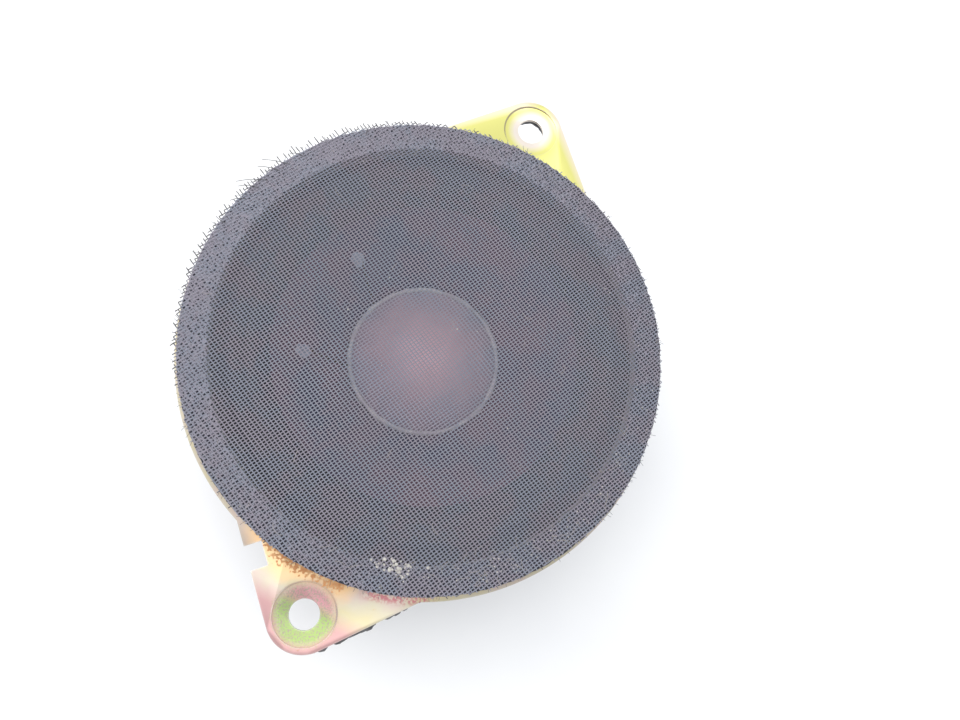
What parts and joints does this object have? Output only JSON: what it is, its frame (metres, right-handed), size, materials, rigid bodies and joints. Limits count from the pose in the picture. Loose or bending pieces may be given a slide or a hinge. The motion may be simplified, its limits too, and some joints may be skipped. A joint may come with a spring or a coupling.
{
  "type": "car tweeter",
  "caption": "Small round car loudspeaker with a woven cloth front, a pressed steel basket with two screw ears, a ferrite ring magnet, a paper cone and a terminal board.",
  "frame": {"origin": "centre of the magnet's rear face, on the speaker's axis", "axes": "+Z along the speaker's axis towards the cloth front, +X towards the plain ear, the notched ear at -X and the terminals at +Y"},
  "size_m": [0.115, 0.09, 0.0422],
  "materials": {
    "zinc_yellow": "iridescent yellow zinc plating with rust stains",
    "zinc_plate": "dull white zinc plating",
    "ferrite": "matt ground ceramic",
    "cloth": "open plain weave",
    "felt": "pressed fibre",
    "foam": "matt closed-cell foam",
    "paper": "doped black paper pulp",
    "treated_cloth": "satin doped cloth",
    "spider_cloth": "resin-treated corrugated cloth",
    "aluminium": "bare foil",
    "copper": "enamelled wire",
    "lacquer": "hard lacquer",
    "laminate": "phenolic paper laminate",
    "tin": "tin plating",
    "sleeve": "shrink sleeve"
  },
  "bodies": {
    "frame": {"basket": "zinc_yellow", "front_gasket": "felt", "grille_cloth": "cloth", "rear_gasket": "foam", "top_plate": "zinc_plate", "magnet": "ferrite", "back_plate": "zinc_plate", "pole_piece": "zinc_plate", "surround": "treated_cloth", "spider": "spider_cloth", "tinsel_lead_positive": "copper", "tinsel_lead_negative": "copper", "terminal_board": "laminate", "board_rivet_inner": "zinc_plate", "board_rivet_outer": "zinc_plate", "terminal_positive": "tin", "terminal_negative": "tin", "lead_tag": "tin", "terminal_rivet_positive": "tin", "terminal_rivet_negative": "tin", "terminal_rivet_tag": "tin", "capacitor": "sleeve", "capacitor_lead_in": "tin", "capacitor_lead_out": "tin"},
    "diaphragm": {"cone": "paper", "dust_cap": "paper", "coil_former": "aluminium", "coil_winding": "copper", "coil_wire_positive": "copper", "coil_wire_negative": "copper", "lead_dab_positive": "lacquer", "lead_dab_negative": "lacquer"}
  },
  "joints": [
    {"name": "diaphragm_travel", "type": "slide", "parent": "frame", "child": "diaphragm", "axis": [0, 0, 1], "range_m": [-0.0015, 0.0015], "stiffness_N_per_m": 1500, "deforming": ["surround", "spider", "tinsel_lead_positive", "tinsel_lead_negative"]}
  ]
}
